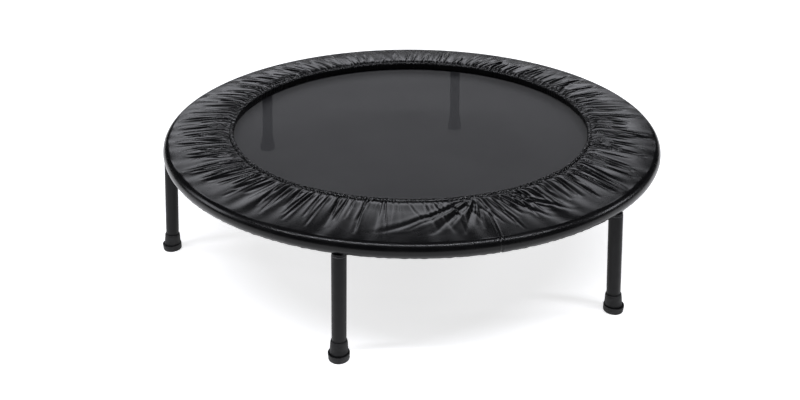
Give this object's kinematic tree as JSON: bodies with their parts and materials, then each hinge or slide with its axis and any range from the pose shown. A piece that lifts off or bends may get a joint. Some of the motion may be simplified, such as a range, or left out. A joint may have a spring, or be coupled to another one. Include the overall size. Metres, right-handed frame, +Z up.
{
  "type": "mini trampoline",
  "caption": "Round low trampoline with a woven mat on springs in a tubular hoop, a gathered black pad cover, and screw-in legs with rubber feet.",
  "frame": {"origin": "centre of the floor plane under the trampoline", "axes": "+Z up from the floor, +X towards leg 1, the cover's seam towards -Y"},
  "size_m": [1.051, 0.9988, 0.229],
  "materials": {
    "painted_steel": "satin black powder coat",
    "vinyl_cover": "semi-gloss black coated PVC",
    "woven_mat": "woven polypropylene, charcoal",
    "webbing": "black webbing",
    "elastic": "black covered elastic",
    "zinc_spring": "zinc plated",
    "zinc_stud": "zinc plated",
    "nylon_washer": "matte black nylon",
    "rubber_foot": "matte black rubber"
  },
  "bodies": {
    "frame": {"frame_ring": "painted_steel", "pad_cover": "vinyl_cover", "inner_elastic": "elastic", "outer_elastic": "elastic", "spring_01": "zinc_spring", "spring_02": "zinc_spring", "spring_03": "zinc_spring", "spring_04": "zinc_spring", "spring_05": "zinc_spring", "spring_06": "zinc_spring", "spring_07": "zinc_spring", "spring_08": "zinc_spring", "spring_09": "zinc_spring", "spring_10": "zinc_spring", "spring_11": "zinc_spring", "spring_12": "zinc_spring", "spring_13": "zinc_spring", "spring_14": "zinc_spring", "spring_15": "zinc_spring", "spring_16": "zinc_spring", "spring_17": "zinc_spring", "spring_18": "zinc_spring", "spring_19": "zinc_spring", "spring_20": "zinc_spring", "spring_21": "zinc_spring", "spring_22": "zinc_spring", "spring_23": "zinc_spring", "spring_24": "zinc_spring", "spring_25": "zinc_spring", "spring_26": "zinc_spring", "spring_27": "zinc_spring", "spring_28": "zinc_spring", "spring_29": "zinc_spring", "spring_30": "zinc_spring"},
    "mat": {"jump_mat": "woven_mat", "mat_hem": "webbing"},
    "washer_1": {"leg_1_washer": "nylon_washer"},
    "leg_1": {"leg_1_tube": "painted_steel", "leg_1_stud": "zinc_stud", "leg_1_foot": "rubber_foot"},
    "washer_2": {"leg_2_washer": "nylon_washer"},
    "leg_2": {"leg_2_tube": "painted_steel", "leg_2_stud": "zinc_stud", "leg_2_foot": "rubber_foot"},
    "washer_3": {"leg_3_washer": "nylon_washer"},
    "leg_3": {"leg_3_tube": "painted_steel", "leg_3_stud": "zinc_stud", "leg_3_foot": "rubber_foot"},
    "washer_4": {"leg_4_washer": "nylon_washer"},
    "leg_4": {"leg_4_tube": "painted_steel", "leg_4_stud": "zinc_stud", "leg_4_foot": "rubber_foot"},
    "washer_5": {"leg_5_washer": "nylon_washer"},
    "leg_5": {"leg_5_tube": "painted_steel", "leg_5_stud": "zinc_stud", "leg_5_foot": "rubber_foot"},
    "washer_6": {"leg_6_washer": "nylon_washer"},
    "leg_6": {"leg_6_tube": "painted_steel", "leg_6_stud": "zinc_stud", "leg_6_foot": "rubber_foot"}
  },
  "joints": [
    {"name": "mat_bounce", "type": "slide", "parent": "frame", "child": "mat", "axis": [0, 0, -1], "range_m": [0, 0.1], "stiffness_N_per_m": 9000, "deforming": ["spring_01", "spring_02", "spring_03", "spring_04", "spring_05", "spring_06", "spring_07", "spring_08", "spring_09", "spring_10", "spring_11", "spring_12", "spring_13", "spring_14", "spring_15", "spring_16", "spring_17", "spring_18", "spring_19", "spring_20", "spring_21", "spring_22", "spring_23", "spring_24", "spring_25", "spring_26", "spring_27", "spring_28", "spring_29", "spring_30"]},
    {"name": "leg_1_descent", "type": "slide", "parent": "frame", "child": "washer_1", "axis": [0.1063, 0, -0.9943], "range_m": [0, 0.015]},
    {"name": "leg_1_screw", "type": "hinge", "parent": "washer_1", "child": "leg_1", "pos_m": [0.485, 0, 0.207], "axis": [0.1063, 0, -0.9943], "range_deg": [0, 3601]},
    {"name": "leg_2_descent", "type": "slide", "parent": "frame", "child": "washer_2", "axis": [0.0531, 0.092, -0.9943], "range_m": [0, 0.015]},
    {"name": "leg_2_screw", "type": "hinge", "parent": "washer_2", "child": "leg_2", "pos_m": [0.2425, 0.42002, 0.207], "axis": [0.0531, 0.092, -0.9943], "range_deg": [0, 3601]},
    {"name": "leg_3_descent", "type": "slide", "parent": "frame", "child": "washer_3", "axis": [-0.0531, 0.092, -0.9943], "range_m": [0, 0.015]},
    {"name": "leg_3_screw", "type": "hinge", "parent": "washer_3", "child": "leg_3", "pos_m": [-0.2425, 0.42002, 0.207], "axis": [-0.0531, 0.092, -0.9943], "range_deg": [0, 3601]},
    {"name": "leg_4_descent", "type": "slide", "parent": "frame", "child": "washer_4", "axis": [-0.1063, 0, -0.9943], "range_m": [0, 0.015]},
    {"name": "leg_4_screw", "type": "hinge", "parent": "washer_4", "child": "leg_4", "pos_m": [-0.485, 0, 0.207], "axis": [-0.1063, 0, -0.9943], "range_deg": [0, 3601]},
    {"name": "leg_5_descent", "type": "slide", "parent": "frame", "child": "washer_5", "axis": [-0.0531, -0.092, -0.9943], "range_m": [0, 0.015]},
    {"name": "leg_5_screw", "type": "hinge", "parent": "washer_5", "child": "leg_5", "pos_m": [-0.2425, -0.42002, 0.207], "axis": [-0.0531, -0.092, -0.9943], "range_deg": [0, 3601]},
    {"name": "leg_6_descent", "type": "slide", "parent": "frame", "child": "washer_6", "axis": [0.0531, -0.092, -0.9943], "range_m": [0, 0.015]},
    {"name": "leg_6_screw", "type": "hinge", "parent": "washer_6", "child": "leg_6", "pos_m": [0.2425, -0.42002, 0.207], "axis": [0.0531, -0.092, -0.9943], "range_deg": [0, 3601]}
  ],
  "couplings": [
    {"joint": "leg_1_screw", "follows": "leg_1_descent", "rad_per_m": 4188.8},
    {"joint": "leg_2_screw", "follows": "leg_2_descent", "rad_per_m": 4188.8},
    {"joint": "leg_3_screw", "follows": "leg_3_descent", "rad_per_m": 4188.8},
    {"joint": "leg_4_screw", "follows": "leg_4_descent", "rad_per_m": 4188.8},
    {"joint": "leg_5_screw", "follows": "leg_5_descent", "rad_per_m": 4188.8},
    {"joint": "leg_6_screw", "follows": "leg_6_descent", "rad_per_m": 4188.8}
  ]
}
